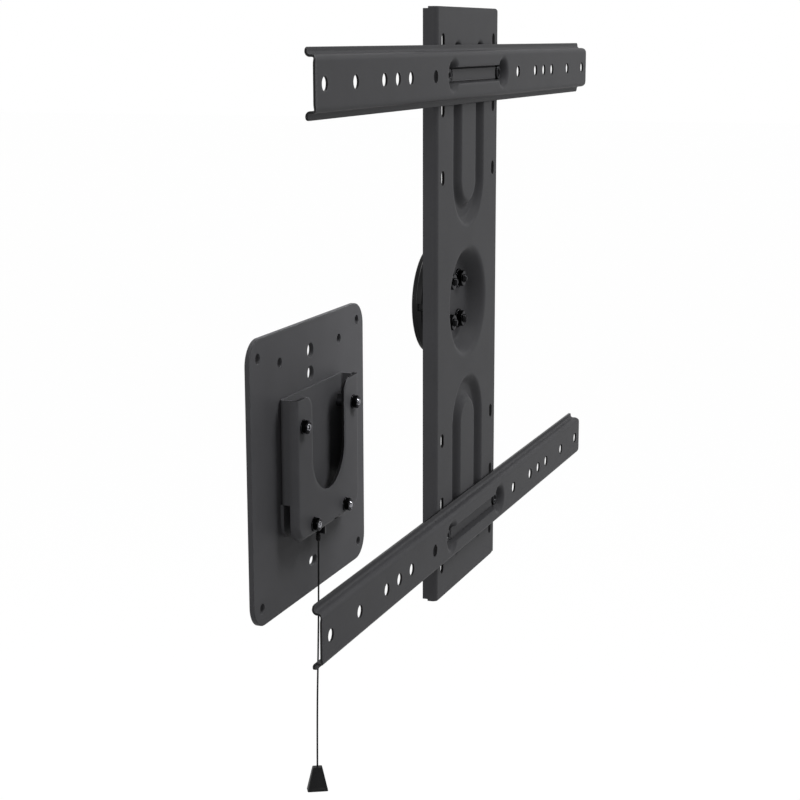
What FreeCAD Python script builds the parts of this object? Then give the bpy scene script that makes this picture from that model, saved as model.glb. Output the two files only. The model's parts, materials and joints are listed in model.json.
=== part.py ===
import FreeCAD, Part
import math
import os

Vec = FreeCAD.Vector
os.makedirs("parts", exist_ok=True)

# Rotating television wall mount, in millimetres.
# The origin is the centre of the wall plate's back face. X runs along the two
# television arms, Y runs into the wall and Z is up. The television half is shown
# lifted off its socket: it keeps the socket's axes, set off by pull_off and lift_off.

# Wall plate.
plate_width = 230.0
plate_height = 230.0
plate_thickness = 4.0
plate_corner_radius = 20.0
plate_edge_radius = 0.8
wall_hole_margin = 15.0
wall_hole_diameter = 8.4
inner_hole_pitch = 120.0
inner_hole_height = 90.0
inner_hole_diameter = 8.4
lag_hole_diameter = 12.5
lag_hole_heights = (90.0, 71.0)
lower_slot_height = -89.0
lower_slot_length = 15.0
lower_slot_width = 8.5

# Socket: a folded channel on the plate and a dished front over it.
socket_width = 131.0
socket_top = 60.5
socket_bottom = -57.0
socket_depth = 16.0
socket_sheet = 2.5
socket_corner_radius = 16.0
socket_edge_radius = 5.0
socket_rim_depth = 6.5
channel_wall_bottom = -25.0
channel_bend_radius = 1.5
channel_gap = 0.2
slot_width = 66.0
slot_centre_height = 8.5
slot_flare_radius = 12.0
latch_slit_width = 34.0
latch_slit_lip = 1.5

# Studs, sleeves, washers and nuts that clamp the socket to the plate.
upper_stud_pitch = 104.0
upper_stud_height = 38.0
lower_stud_pitch = 66.0
lower_stud_height = -47.0
stud_diameter = 6.0
stud_head_diameter = 11.0
stud_head_thickness = 1.5
sleeve_diameter = 10.0
stud_end = 1.2
fit_gap = 0.1
washer_thickness = 1.2
washer_diameter = 12.0
nut_width = 10.0
nut_height = 3.8
nut_chamfer = 0.5

# Latch under the slot, pulled down by the cord.
latch_pin_diameter = 5.0
latch_stem_diameter = 2.4
latch_nose_round = 1.2
latch_reach = 4.5
latch_gap = 1.0
latch_spring_length = 11.0
latch_spring_turns = 5
latch_spring_wire = 0.6
latch_guide_width = 12.0
latch_guide_wall = 1.5
latch_ear_width = 7.5
latch_ear_thickness = 3.0
latch_running_gap = 0.25
guide_screw_diameter = 4.0
guide_screw_head = 6.5
guide_screw_head_height = 2.4
guide_screw_head_round = 1.2
latch_clip_diameter = 6.0
latch_clip_thickness = 1.0
latch_tab_width = 9.2
latch_tab_thickness = 2.0
latch_tab_height = 6.5
latch_tab_hole = 2.2

# Cord and pull. The cord hangs from the latch's tab, its route chosen by hand.
cord_diameter = 1.5
knot_diameter = 4.2
knot_height = 5.0
knot_round = 1.3
cord_route = [(0.0, -9.1, -69.5), (-1.2, -9.2, -118.0), (-5.2, -9.8, -168.0),
              (-9.6, -10.1, -218.0), (-11.3, -10.4, -268.5)]
pull_height = 21.0
pull_top_size = (8.3, 6.0)
pull_bottom_size = (17.7, 9.0)
pull_turn = 119.8
pull_edge_radius = 0.6

# Column, folded from one sheet, with the hub dish and four stiffening grooves.
column_width = 147.0
column_length = 449.0
column_sheet = 2.0
column_flange = 11.0
column_bend_radius = 2.0
column_corner_radius = 3.0
flange_step_depth = 7.0
flange_end_gap = 1.3
column_slot_margin = 13.5
column_slot_heights = (100.0, 150.0, 175.0, 200.0)
column_slot_width = 6.6
column_slot_length = 11.0
dish_diameter = 86.0
dish_floor_diameter = 60.0
dish_depth = 12.5
dish_rim_radius = 9.0
dish_floor_radius = 7.0
groove_pitch = 53.0
groove_width = 20.0
groove_floor_width = 8.0
groove_depth = 4.0
groove_outer_height = 200.0
groove_inner_height = 59.0

# Arms: hat sections with two bolt wells joined by a shallow channel.
arm_length = 629.0
arm_height = 43.0
arm_web_height = 35.0
arm_depth = 8.7
arm_sheet = 1.5
arm_bend_radius = 2.0
arm_corner_radius = 5.0
lip_inset = 3.2
lip_corner_radius = 3.0
arm_spacing = 350.0
arm_hole_diameter = 10.2
arm_end_margin = 14.5
arm_hole_places = (100.0, 150.0, 175.0, 200.0, 250.0, arm_length / 2 - arm_end_margin)
well_diameter = 24.0
well_floor_diameter = 16.0
well_rim_radius = 4.0
well_floor_radius = 1.5
channel_height = 12.0
channel_floor_height = 9.6
channel_depth = 3.0
arm_bolt_head_diameter = 11.4
arm_bolt_head_height = 3.4
arm_bolt_head_round = 3.0
arm_bolt_diameter = 6.0
arm_bolt_end = 1.5
hex_key_width = 4.0
hex_key_depth = 2.0

# Hub: a neck and a notched rotor disc with a plastic glide behind it.
neck_clearance = 0.8
disc_diameter = 92.0
disc_thickness = 5.0
disc_edge_radius = 1.0
disc_gap = 0.5
notch_depth = 5.5
notch_clearance = 0.8
glide_diameter = 84.0
glide_bore = 58.0
glide_gap = 0.5
hub_bolt_pitch_x = 23.0
hub_bolt_pitch_z = 32.0
hub_bolt_diameter = 8.0
hub_bolt_head_diameter = 14.5
hub_bolt_head_height = 4.0
hub_bolt_end = 2.5
hub_key_width = 5.0
hub_washer_diameter = 15.0
hub_washer_thickness = 1.4
hub_nut_width = 13.0
hub_nut_height = 4.0
swing_gap = 1.5

# How far the television half is held off the socket.
pull_off = 100.9
lift_off = 129.2

# Places that follow from the sizes above.
plate_front = -plate_thickness
socket_back = plate_front
socket_front = plate_front - socket_depth
front_sheet_back = socket_front + socket_sheet
web_front = socket_back - socket_sheet
channel_wall_front = front_sheet_back + socket_edge_radius - socket_sheet + channel_gap
pocket_depth = web_front - front_sheet_back
fastener_height = washer_thickness + nut_height + stud_end

column_slot_pitch = column_width - 2 * column_slot_margin
column_front = arm_depth
column_sheet_back = column_front + column_sheet
column_back = column_front + column_flange
dish_floor_front = column_front + dish_depth
dish_floor_back = dish_floor_front + column_sheet
hooked_socket_front = column_back + swing_gap + fastener_height
disc_front = hooked_socket_front + socket_sheet + disc_gap
disc_back = disc_front + disc_thickness
glide_back = hooked_socket_front + socket_sheet + pocket_depth - glide_gap
neck_diameter = slot_width - 2 * neck_clearance
tv_offset = Vec(0, socket_front - hooked_socket_front - pull_off,
                slot_centre_height + lift_off)

latch_y = socket_front + socket_sheet + disc_gap + disc_thickness / 2
disc_rim_height = slot_centre_height - disc_diameter / 2
latch_tip = disc_rim_height + latch_reach
guide_top = disc_rim_height - latch_gap
guide_bottom = socket_bottom + socket_sheet + 2 * latch_gap
spring_floor = guide_bottom + latch_guide_wall
latch_shoulder = spring_floor + latch_spring_length
tab_bottom = cord_route[0][2] + knot_height
tab_top = tab_bottom + latch_tab_height


def box(x0, x1, y0, y1, z0, z1):
    """A block between two corners."""
    return Part.makeBox(x1 - x0, y1 - y0, z1 - z0, Vec(x0, y0, z0))


def rod_y(diameter, x, z, y0, y1):
    """A cylinder along Y."""
    return Part.makeCylinder(diameter / 2, y1 - y0, Vec(x, y0, z), Vec(0, 1, 0))


def rod_z(diameter, x, y, z0, z1):
    """A cylinder along Z."""
    return Part.makeCylinder(diameter / 2, z1 - z0, Vec(x, y, z0))


def cone_y(diameter0, diameter1, x, z, y0, y1):
    """A cone frustum along Y."""
    return Part.makeCone(diameter0 / 2, diameter1 / 2, y1 - y0, Vec(x, y0, z), Vec(0, 1, 0))


def rounded_edges(points, radii):
    """Edges of an open line of points whose inner points are tangent arcs."""
    edges = []
    start = points[0]
    for before, corner, after, radius in zip(points, points[1:], points[2:], radii):
        if radius <= 0:
            edges.append(Part.LineSegment(start, corner).toShape())
            start = corner
            continue
        to_before = (before - corner).normalize()
        to_after = (after - corner).normalize()
        half = to_before.getAngle(to_after) / 2
        middle = (to_before + to_after).normalize()
        first = corner + to_before * (radius / math.tan(half))
        last = corner + to_after * (radius / math.tan(half))
        apex = corner + middle * (radius / math.sin(half) - radius)
        if (first - start).Length > 1e-6:
            edges.append(Part.LineSegment(start, first).toShape())
        edges.append(Part.Arc(first, apex, last).toShape())
        start = last
    edges.append(Part.LineSegment(start, points[-1]).toShape())
    return edges


def closed_face(points, radii):
    """A flat face whose corners are rounded, one radius for each point."""
    middle = (points[0] + points[-1]) * 0.5
    ring = [middle] + list(points) + [middle]
    return Part.Face(Part.Wire(rounded_edges(ring, radii)))


def sheet_face(points, bend, thickness, to_space):
    """Section of a sheet folded along points, with its thickness on their right side.

    Bends keep the inner radius bend on whichever side is the inner one.
    """
    normals = []
    for (u0, v0), (u1, v1) in zip(points, points[1:]):
        length = math.hypot(u1 - u0, v1 - v0)
        normals.append(((v1 - v0) / length, (u0 - u1) / length))
    far = []
    near_radii = []
    far_radii = []
    for index, (u, v) in enumerate(points):
        before = normals[max(index - 1, 0)]
        after = normals[min(index, len(normals) - 1)]
        share = thickness / (1 + before[0] * after[0] + before[1] * after[1])
        far.append((u + share * (before[0] + after[0]), v + share * (before[1] + after[1])))
        if 0 < index < len(points) - 1:
            turns_right = before[0] * after[1] - before[1] * after[0] < 0
            near_radii.append(bend + thickness if turns_right else bend)
            far_radii.append(bend if turns_right else bend + thickness)
    near_line = [to_space(u, v) for u, v in points]
    far_line = [to_space(u, v) for u, v in reversed(far)]
    edges = rounded_edges(near_line, near_radii)
    edges.append(Part.LineSegment(near_line[-1], far_line[0]).toShape())
    edges.extend(rounded_edges(far_line, list(reversed(far_radii))))
    edges.append(Part.LineSegment(far_line[-1], near_line[0]).toShape())
    return Part.Face(Part.Wire(edges))


def turned_y(profile, radii, x, z):
    """Revolve a closed (radius, y) profile about a line along Y."""
    face = closed_face([Vec(r, y, 0) for r, y in profile], radii)
    solid = face.revolve(Vec(0, 0, 0), Vec(0, 1, 0), 360)
    return solid.translated(Vec(x, 0, z))


def turned_z(profile, radii, x, y):
    """Revolve a closed (radius, z) profile about a line along Z."""
    face = closed_face([Vec(r, 0, z) for r, z in profile], radii)
    solid = face.revolve(Vec(0, 0, 0), Vec(0, 0, 1), 360)
    return solid.translated(Vec(x, y, 0))


def hex_prism_y(width, x, z, y0, y1):
    """A hexagonal prism along Y, width across flats."""
    radius = width / math.sqrt(3)
    corners = []
    for step in range(7):
        angle = math.radians(60 * step)
        corners.append(Vec(x + radius * math.cos(angle), y0, z + radius * math.sin(angle)))
    return Part.Face(Part.makePolygon(corners)).extrude(Vec(0, y1 - y0, 0))


def fused(shapes):
    """One clean solid from touching or overlapping shapes."""
    body = shapes[0].multiFuse(shapes[1:]) if len(shapes) > 1 else shapes[0]
    return body.removeSplitter()


def edges_at(shape, test):
    """Edges whose end points all pass the test."""
    return [edge for edge in shape.Edges if all(test(v.Point) for v in edge.Vertexes)]


def near(value, target):
    """True where two lengths agree to a thousandth."""
    return abs(value - target) < 1e-3


# Fasteners that several places share.

def washer(bore, x, z, y0, y1, outer=washer_diameter):
    """A flat washer with a bore that clears its bolt."""
    return rod_y(outer, x, z, y0, y1).cut(rod_y(bore, x, z, y0, y1))


def nut(bore, x, z, y0, y1, width=nut_width):
    """A hexagon nut whose corners are chamfered at both ends."""
    body = hex_prism_y(width, x, z, y0, y1)
    corner = width * 2 / math.sqrt(3)
    height = y1 - y0
    envelope = turned_y(
        [(0, y0), (width / 2, y0), (corner / 2, y0 + nut_chamfer), (corner / 2, y1 - nut_chamfer),
         (width / 2, y1), (0, y1)], [0] * 6, x, z)
    return body.common(envelope).cut(rod_y(bore, x, z, y0 - height, y1 + height))


def thread_end(diameter, x, z, y0, y1):
    """A bolt end with a small chamfer towards lower Y."""
    chamfer = diameter / 8
    radius = diameter / 2
    return turned_y([(0, y0), (radius - chamfer, y0), (radius, y0 + chamfer), (radius, y1), (0, y1)],
                    [0] * 5, x, z)


# Wall half.

def stud_places():
    """X and Z of the four studs, upper pair first."""
    upper = [(side * upper_stud_pitch / 2, upper_stud_height) for side in (-1, 1)]
    lower = [(side * lower_stud_pitch / 2, lower_stud_height) for side in (-1, 1)]
    return upper + lower


def rounded_plate(width, height, radius, y0, y1):
    """A flat plate with round corners, centred on the origin."""
    half_w = width / 2
    half_h = height / 2
    corners = [Vec(-half_w, y0, -half_h), Vec(half_w, y0, -half_h),
               Vec(half_w, y0, half_h), Vec(-half_w, y0, half_h)]
    return closed_face(corners, [radius] * 4).extrude(Vec(0, y1 - y0, 0))


def slot_hole(width, length, x, z, y0, y1, upright):
    """A slot with round ends through Y, upright or lying along X."""
    reach = (length - width) / 2
    dx, dz = (0, reach) if upright else (reach, 0)
    ends = [rod_y(width, x - dx, z - dz, y0, y1), rod_y(width, x + dx, z + dz, y0, y1)]
    side_x = dx if dx else width / 2
    side_z = dz if dz else width / 2
    bar = box(x - side_x, x + side_x, y0, y1, z - side_z, z + side_z)
    return fused([bar] + ends)


def wall_plate():
    """The flat plate that is screwed to the wall."""
    plate = rounded_plate(plate_width, plate_height, plate_corner_radius, plate_front, 0)
    front_edges = edges_at(plate, lambda p: near(p.y, plate_front))
    plate = plate.makeFillet(plate_edge_radius, front_edges)
    y0, y1 = plate_front - 1, 1
    cuts = []
    for side in (-1, 1):
        for level in (-1, 1):
            cuts.append(rod_y(wall_hole_diameter, side * (plate_width / 2 - wall_hole_margin),
                              level * (plate_height / 2 - wall_hole_margin), y0, y1))
        cuts.append(rod_y(inner_hole_diameter, side * inner_hole_pitch / 2,
                          inner_hole_height, y0, y1))
    for height in lag_hole_heights:
        cuts.append(rod_y(lag_hole_diameter, 0, height, y0, y1))
    cuts.append(slot_hole(lower_slot_width, lower_slot_length, 0, lower_slot_height, y0, y1, False))
    for x, z in stud_places():
        cuts.append(rod_y(stud_diameter + 2 * fit_gap, x, z, y0, y1))
        cuts.append(rod_y(stud_head_diameter + 2 * fit_gap, x, z, -stud_head_thickness, y1))
    for x, z in guide_screw_places():
        cuts.append(rod_y(guide_screw_diameter + 2 * fit_gap, x, z, y0, y1))
    return plate.cut(Part.makeCompound(cuts))


def socket_face(inset, y, open_top):
    """Outline of the socket, drawn in by inset, with a plain edge at the top."""
    half = socket_width / 2 - inset
    top = socket_top + (socket_sheet if open_top else 0)
    bottom = socket_bottom + inset
    radius = socket_corner_radius - inset
    corners = [Vec(-half, y, bottom), Vec(half, y, bottom), Vec(half, y, top), Vec(-half, y, top)]
    return closed_face(corners, [radius, radius, 0, 0])


def slot_cutter(y0, y1):
    """The U of the slot, open upwards, with its mouth flared."""
    half = slot_width / 2
    above = socket_top + socket_sheet
    straight = box(-half, half, y0, y1, slot_centre_height, above)
    round_end = rod_y(slot_width, 0, slot_centre_height, y0, y1)
    mouth_z = socket_top - slot_flare_radius
    mouth = box(-half - slot_flare_radius, half + slot_flare_radius, y0, y1, mouth_z, above)
    for side in (-1, 1):
        mouth = mouth.cut(rod_y(2 * slot_flare_radius, side * (half + slot_flare_radius),
                                mouth_z, y0 - 1, y1 + 1))
    return fused([straight, round_end, mouth])


def socket_front_plate():
    """The dished front: round outer edges, an open top and the U slot."""
    rim_back = socket_front + socket_rim_depth
    outer = socket_face(0, rim_back, False).extrude(Vec(0, -socket_rim_depth, 0))
    outer_edges = [edge for edge in edges_at(outer, lambda p: near(p.y, socket_front))
                   if not all(near(v.Point.z, socket_top) for v in edge.Vertexes)]
    outer = outer.makeFillet(socket_edge_radius, outer_edges)
    inner = socket_face(socket_sheet, rim_back, True)
    inner = inner.extrude(Vec(0, socket_sheet - socket_rim_depth, 0))
    inner_edges = [edge for edge in edges_at(inner, lambda p: near(p.y, front_sheet_back))
                   if not all(p.Point.z > socket_top for p in edge.Vertexes)]
    inner = inner.makeFillet(socket_edge_radius - socket_sheet, inner_edges)
    cuts = [inner, slot_cutter(socket_front - 1, rim_back + 1)]
    for x, z in stud_places():
        cuts.append(rod_y(stud_diameter + 2 * fit_gap, x, z, socket_front - 1, rim_back + 1))
    slit = latch_slit_width / 2
    cuts.append(box(-slit, slit, socket_front + latch_slit_lip, rim_back + 1,
                    socket_bottom - 1, socket_bottom + socket_edge_radius))
    return outer.cut(Part.makeCompound(cuts))


def socket_channel():
    """The folded channel behind the front, lying on the wall plate."""
    half = socket_width / 2 - socket_sheet - channel_gap
    section = [(-half, channel_wall_front), (-half, socket_back),
               (half, socket_back), (half, channel_wall_front)]
    folded = sheet_face(section, channel_bend_radius, socket_sheet,
                        lambda x, y: Vec(x, y, channel_wall_bottom))
    folded = folded.extrude(Vec(0, 0, socket_top - channel_wall_bottom))
    apron = socket_face(socket_sheet + channel_gap, socket_back, False)
    apron = apron.extrude(Vec(0, -socket_sheet, 0))
    apron = apron.common(box(-half, half, web_front, socket_back, socket_bottom, channel_wall_bottom))
    channel = fused([folded, apron])
    cuts = []
    for x, z in stud_places():
        cuts.append(rod_y(stud_diameter + 2 * fit_gap, x, z, web_front - 1, 0))
    for x, z in guide_screw_places():
        cuts.append(rod_y(guide_screw_diameter + 2 * fit_gap, x, z, web_front - 1, 0))
    return channel.cut(Part.makeCompound(cuts))


def socket_stud(x, z):
    """A flush stud pressed in from the plate's back."""
    shank = thread_end(stud_diameter, x, z, socket_front - fastener_height, -stud_head_thickness)
    head = rod_y(stud_head_diameter, x, z, -stud_head_thickness, 0)
    return fused([shank, head])


def spacer_sleeve(x, z):
    """The sleeve that keeps the front its distance from the channel."""
    sleeve = rod_y(sleeve_diameter, x, z, front_sheet_back, web_front)
    return sleeve.cut(rod_y(stud_diameter + 2 * fit_gap, x, z, front_sheet_back, web_front))


def guide_screw_places():
    """X and Z of the two screws in the guide's ears."""
    reach = (latch_guide_width + latch_ear_width) / 2
    height = (guide_top + guide_bottom) / 2
    return [(side * reach, height) for side in (-1, 1)]


def latch_guide():
    """The block that guides the latch pin and holds its spring."""
    half = latch_guide_width / 2
    front = latch_y - latch_pin_diameter / 2 - latch_running_gap
    block = box(-half, half, front, web_front, guide_bottom, guide_top)
    ears = box(-half - latch_ear_width, half + latch_ear_width, web_front - latch_ear_thickness,
               web_front, guide_bottom, guide_top)
    bore = latch_pin_diameter + 2 * latch_running_gap
    stem_hole = latch_stem_diameter + 2 * latch_running_gap
    cuts = [rod_z(bore, 0, latch_y, spring_floor, guide_top + 1),
            box(-bore / 2, bore / 2, front - 1, latch_y, spring_floor, guide_top + 1),
            rod_z(stem_hole, 0, latch_y, guide_bottom - 1, spring_floor + 1)]
    for x, z in guide_screw_places():
        cuts.append(rod_y(guide_screw_diameter + 2 * fit_gap, x, z,
                          web_front - latch_ear_thickness - 1, web_front + 1))
    return fused([block, ears]).cut(Part.makeCompound(cuts))


def guide_screw(x, z):
    """A pan-head screw through a guide ear, the channel and the plate."""
    head_back = web_front - latch_ear_thickness
    radius = guide_screw_head / 2
    head = turned_y([(0, head_back - guide_screw_head_height), (radius, head_back - guide_screw_head_height),
                     (radius, head_back), (0, head_back)], [0, guide_screw_head_round, 0, 0], x, z)
    shank = rod_y(guide_screw_diameter, x, z, head_back, -fit_gap)
    return fused([head, shank])


def latch_pin():
    """The sprung pin: a round nose, a shoulder for the spring and a flat tab below."""
    radius = latch_pin_diameter / 2
    stem = latch_stem_diameter / 2
    body = turned_z([(0, tab_bottom), (stem, tab_bottom), (stem, latch_shoulder),
                     (radius, latch_shoulder), (radius, latch_tip), (0, latch_tip)],
                    [0, 0, 0, 0, latch_nose_round, 0], 0, latch_y)
    half = latch_tab_thickness / 2
    tab_front = latch_y - stem
    tab_back = tab_front + latch_tab_width
    corners = [Vec(-half, tab_front, tab_bottom), Vec(-half, tab_back, tab_bottom),
               Vec(-half, tab_back, tab_top), Vec(-half, tab_front, tab_top)]
    tab = closed_face(corners, [0, half, half, 0]).extrude(Vec(latch_tab_thickness, 0, 0))
    hole = Part.makeCylinder(latch_tab_hole / 2, 4 * half,
                             Vec(-2 * half, cord_route[0][1], tab_bottom + latch_tab_hole), Vec(1, 0, 0))
    return fused([body, tab]).cut(hole)


def latch_clip():
    """The retaining ring on the stem, which stops the pin under the guide."""
    top = guide_bottom - fit_gap
    clip = rod_z(latch_clip_diameter, 0, latch_y, top - latch_clip_thickness, top)
    return clip.cut(rod_z(latch_stem_diameter, 0, latch_y, top - latch_clip_thickness, top))


def latch_spring():
    """The compression spring around the stem, from the guide's floor to the shoulder."""
    wire = latch_spring_wire
    coil = (latch_stem_diameter + latch_pin_diameter) / 4
    height = latch_spring_length - wire
    helix = Part.makeHelix(height / latch_spring_turns, height, coil)
    profile = Part.Wire(Part.makeCircle(wire / 2, Vec(coil, 0, 0), Vec(0, 1, 0)))
    spring = Part.Wire(helix).makePipeShell([profile], True, True)
    return spring.translated(Vec(0, latch_y, spring_floor + wire / 2))


# Cord, knot and pull.

def cord_knot():
    """The knot under the latch's tab."""
    x, y, z = cord_route[0]
    radius = knot_diameter / 2
    return turned_z([(0, z), (radius, z), (radius, z + knot_height), (0, z + knot_height)],
                    [0, knot_round, knot_round, 0], x, y)


def pull_cord():
    """The cord: straight runs joined by large tangent arcs."""
    points = [Vec(*point) for point in cord_route]
    radii = []
    for before, corner, after in zip(points, points[1:], points[2:]):
        turn = math.pi - (before - corner).getAngle(after - corner)
        shorter = min((before - corner).Length, (after - corner).Length)
        radii.append(0.45 * shorter / math.tan(turn / 2))
    print("cord bend radii", [round(radius) for radius in radii])
    path = Part.Wire(rounded_edges(points, radii))
    heading = points[1] - points[0]
    profile = Part.Wire(Part.makeCircle(cord_diameter / 2, points[0], heading))
    cord = path.makePipeShell([profile], True, False)
    section = math.pi * cord_diameter ** 2 / 4
    print("cord length", round(path.Length, 1), "volume ratio", round(cord.Volume / section / path.Length, 4))
    return cord


def pull_ring(size, z):
    """A rectangle of the pull at height z, with its corners cut a little."""
    half_w, half_t = size[0] / 2, size[1] / 2
    cut = pull_edge_radius
    corners = [(half_w, half_t - cut), (half_w - cut, half_t), (cut - half_w, half_t), (-half_w, half_t - cut),
               (-half_w, cut - half_t), (cut - half_w, -half_t), (half_w - cut, -half_t), (half_w, cut - half_t)]
    points = [Vec(x, y, z) for x, y in corners]
    return Part.makePolygon(points + points[:1])


def cord_pull():
    """The flattened tapered pull at the cord's end."""
    x, y, top = cord_route[-1]
    heading_end = Vec(*cord_route[-1]) - Vec(*cord_route[-2])
    pull = Part.makeLoft([pull_ring(pull_top_size, 0), pull_ring(pull_bottom_size, -pull_height)], True, True)
    pull.rotate(Vec(0, 0, 0), Vec(0, 0, 1), pull_turn)
    pull.rotate(Vec(0, 0, 0), Vec(0, 0, -1).cross(heading_end),
                math.degrees(Vec(0, 0, -1).getAngle(heading_end)))
    return pull.translated(Vec(x, y, top))


# Television half, drawn with the arms' front face at Y 0 and the hub on Z 0.

def groove_solid(width, floor_width, y0, y1, sign):
    """A U of even section: two straight legs, a half ring and round ends."""
    reach = groove_pitch / 2
    centre = groove_inner_height + groove_width / 2 + reach
    tip = groove_outer_height - groove_width / 2
    section = [(-width / 2, y0), (width / 2, y0), (floor_width / 2, y1), (-floor_width / 2, y1)]
    pieces = []
    for side in (-1, 1):
        corners = [Vec(side * reach + u, y, centre) for u, y in section]
        leg = Part.Face(Part.makePolygon(corners + corners[:1]))
        pieces.append(leg.extrude(Vec(0, 0, tip - centre)))
        pieces.append(cone_y(width, floor_width, side * reach, tip, y0, y1))
    corners = [Vec(reach + u, y, centre) for u, y in section]
    ring = Part.Face(Part.makePolygon(corners + corners[:1]))
    pieces.append(ring.revolve(Vec(0, 0, centre), Vec(0, 1, 0), 180))
    groove = fused(pieces)
    if sign < 0:
        groove = groove.mirror(Vec(0, 0, 0), Vec(0, 0, 1))
    return groove


def pressed_growth(width, floor_width, depth, thickness):
    """How much wider a pressed form is on its back than on its front."""
    slope = math.atan2(depth, (width - floor_width) / 2)
    return 2 * thickness * math.tan(slope / 2)


def pressed_round(width, floor_width, y0, y1, rim_radius, floor_radius, x):
    """A round pressed form from the face at y0 to its floor at y1, with rolled edges."""
    slope = math.atan2(y1 - y0, (width - floor_width) / 2)
    reach = width / 2 + rim_radius * math.tan(slope / 2) + 0.5
    profile = [(0, y1), (floor_width / 2, y1), (width / 2, y0), (reach, y0), (reach, y0 - 1), (0, y0 - 1)]
    return turned_y(profile, [0, floor_radius, rim_radius, 0, 0, 0], x, 0)


def column_slots():
    """X and Z of the upright slots."""
    places = []
    for side in (-1, 1):
        for height in column_slot_heights:
            places.append((side * column_slot_pitch / 2, height))
            places.append((side * column_slot_pitch / 2, -height))
    return places


def hub_bolt_places():
    """X and Z of the four hub bolts."""
    x, z = hub_bolt_pitch_x / 2, hub_bolt_pitch_z / 2
    return [(-x, z), (x, z), (-x, -z), (x, -z)]


def column():
    """The upright: a shallow channel with pressed grooves and the hub dish."""
    half = column_width / 2
    bottom = -column_length / 2
    section = [(half, column_back), (half, column_front), (-half, column_front), (-half, column_back)]
    body = sheet_face(section, column_bend_radius, column_sheet, lambda x, y: Vec(x, y, bottom))
    body = body.extrude(Vec(0, 0, column_length))
    step_depth = column_front + flange_step_depth
    outline = closed_face([Vec(-half, 0, bottom), Vec(half, 0, bottom),
                           Vec(half, 0, -bottom), Vec(-half, 0, -bottom)],
                          [column_corner_radius] * 4).extrude(Vec(0, step_depth, 0))
    flanges = box(-half, half, step_depth, column_back, bottom + flange_end_gap, -bottom - flange_end_gap)
    body = body.common(fused([outline, flanges]))
    grow = pressed_growth(groove_width, groove_floor_width, groove_depth, column_sheet)
    dish_grow = pressed_growth(dish_diameter, dish_floor_diameter, dish_depth, column_sheet)
    backs = [pressed_round(dish_diameter + dish_grow, dish_floor_diameter + dish_grow, column_sheet_back,
                           dish_floor_back, dish_rim_radius - column_sheet, dish_floor_radius + column_sheet, 0)]
    fronts = [pressed_round(dish_diameter, dish_floor_diameter, column_front, dish_floor_front,
                            dish_rim_radius, dish_floor_radius, 0)]
    for sign in (-1, 1):
        backs.append(groove_solid(groove_width + grow, groove_floor_width + grow,
                                  column_sheet_back, column_sheet_back + groove_depth, sign))
        fronts.append(groove_solid(groove_width, groove_floor_width,
                                   column_front, column_front + groove_depth, sign))
    body = body.multiFuse(backs)
    cuts = list(fronts)
    for x, z in column_slots():
        cuts.append(slot_hole(column_slot_width, column_slot_length, x, z,
                              column_front - 1, column_sheet_back + 1, True))
    for x, z in hub_bolt_places():
        cuts.append(rod_y(hub_bolt_diameter + 2 * fit_gap, x, z, dish_floor_front - 1, dish_floor_back + 1))
    return body.cut(Part.makeCompound(cuts)).removeSplitter()


def arm_recess(grow, channel_grow, y0, well_y, channel_y, rim_radius, floor_radius):
    """Two round wells and the channel between them, as one solid."""
    pieces = []
    reach = column_slot_pitch / 2
    for side in (-1, 1):
        pieces.append(pressed_round(well_diameter + grow, well_floor_diameter + grow, y0, well_y,
                                    rim_radius, floor_radius, side * reach))
    half = (channel_height + channel_grow) / 2
    floor_half = (channel_floor_height + channel_grow) / 2
    corners = [Vec(-reach, y0 - 1, -half), Vec(-reach, y0 - 1, half), Vec(-reach, y0, half),
               Vec(-reach, channel_y, floor_half), Vec(-reach, channel_y, -floor_half), Vec(-reach, y0, -half)]
    bar = Part.Face(Part.makePolygon(corners + corners[:1])).extrude(Vec(2 * reach, 0, 0))
    return fused(pieces + [bar])


def television_arm():
    """A hat-section arm with its web to the front."""
    half = arm_height / 2
    web = arm_web_height / 2
    lip = arm_depth - arm_sheet
    end = arm_length / 2
    section = [(lip, -half), (lip, -web), (0, -web), (0, web), (lip, web), (lip, half)]
    body = sheet_face(section, arm_bend_radius, arm_sheet, lambda y, z: Vec(-end, y, z))
    body = body.extrude(Vec(arm_length, 0, 0))
    web_depth = arm_sheet + arm_bend_radius
    web_outline = closed_face([Vec(-end, 0, -web), Vec(end, 0, -web), Vec(end, 0, web), Vec(-end, 0, web)],
                              [arm_corner_radius] * 4).extrude(Vec(0, web_depth, 0))
    lip_end = end - lip_inset
    lip_outline = closed_face([Vec(-lip_end, web_depth, -half), Vec(lip_end, web_depth, -half),
                               Vec(lip_end, web_depth, half), Vec(-lip_end, web_depth, half)],
                              [lip_corner_radius] * 4).extrude(Vec(0, arm_depth - web_depth, 0))
    body = body.common(fused([web_outline, lip_outline]))
    grow = pressed_growth(well_diameter, well_floor_diameter, arm_depth - arm_sheet, arm_sheet)
    channel_grow = pressed_growth(channel_height, channel_floor_height, channel_depth, arm_sheet)
    back = arm_recess(grow, channel_grow, arm_sheet, arm_depth, arm_sheet + channel_depth,
                      well_rim_radius - arm_sheet, well_floor_radius + arm_sheet)
    front = arm_recess(0, 0, 0, arm_depth - arm_sheet, channel_depth, well_rim_radius, well_floor_radius)
    body = body.fuse(back)
    cuts = [front]
    for side in (-1, 1):
        for place in arm_hole_places:
            cuts.append(rod_y(arm_hole_diameter, side * place, 0, -1, arm_sheet + 1))
        cuts.append(rod_y(arm_bolt_diameter + 2 * fit_gap, side * column_slot_pitch / 2, 0,
                          0, arm_depth + 1))
    return body.cut(Part.makeCompound(cuts)).removeSplitter()


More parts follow.
